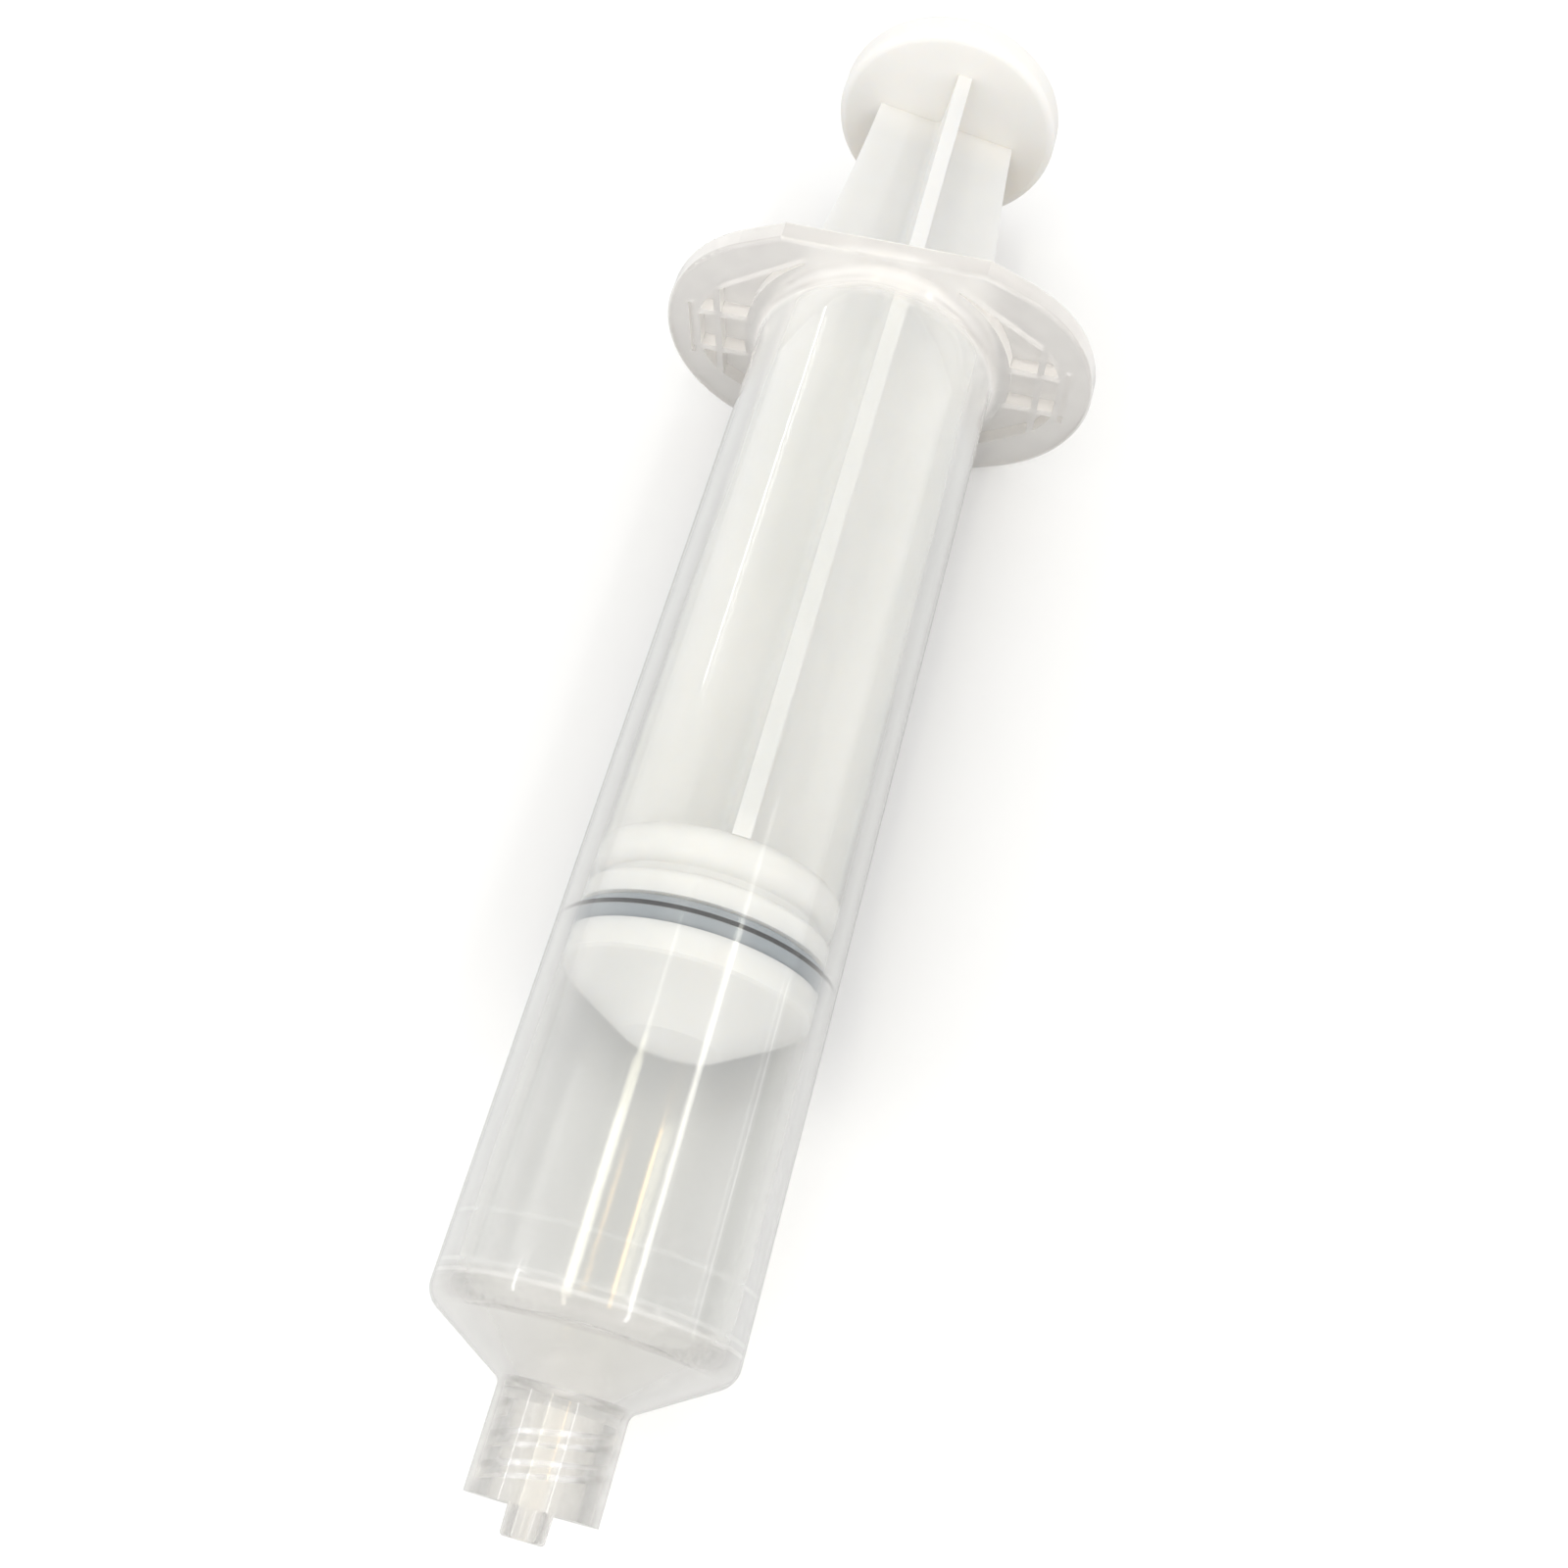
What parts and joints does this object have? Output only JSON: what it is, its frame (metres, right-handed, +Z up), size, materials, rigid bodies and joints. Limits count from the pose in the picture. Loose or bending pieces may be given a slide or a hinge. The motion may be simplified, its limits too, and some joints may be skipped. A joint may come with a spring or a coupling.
{
  "type": "meat injector syringe",
  "caption": "Large clear plastic injector syringe: luer-lock outlet in a threaded collar, cone shoulder, winged finger flange, ribbed plunger with nose cone, rubber ring and thumb disc.",
  "frame": {"origin": "centre of the outlet's open end, on the barrel's axis", "axes": "+Y from the outlet along the barrel to the thumb disc, +X along the finger flange's wings, +Z up; the flange's flats face +Z and -Z"},
  "size_m": [0.0524, 0.1782, 0.034],
  "materials": {
    "clear_plastic": "clear, slightly milky polypropylene, glossy",
    "milky_plastic": "milky natural polypropylene, satin gloss",
    "rubber_ring": "smooth dark blue-grey rubber"
  },
  "bodies": {
    "barrel": {"barrel": "clear_plastic"},
    "seal": {"o_ring": "rubber_ring"},
    "plunger": {"plunger": "milky_plastic"}
  },
  "joints": [
    {"name": "plunger_slide", "type": "slide", "parent": "barrel", "child": "seal", "axis": [0, 1, 0], "range_m": [-0.0312, 0.078]},
    {"name": "plunger_turn", "type": "hinge", "parent": "seal", "child": "plunger", "pos_m": [0, 0.0536, 0], "axis": [0, 1, 0], "continuous": true}
  ]
}
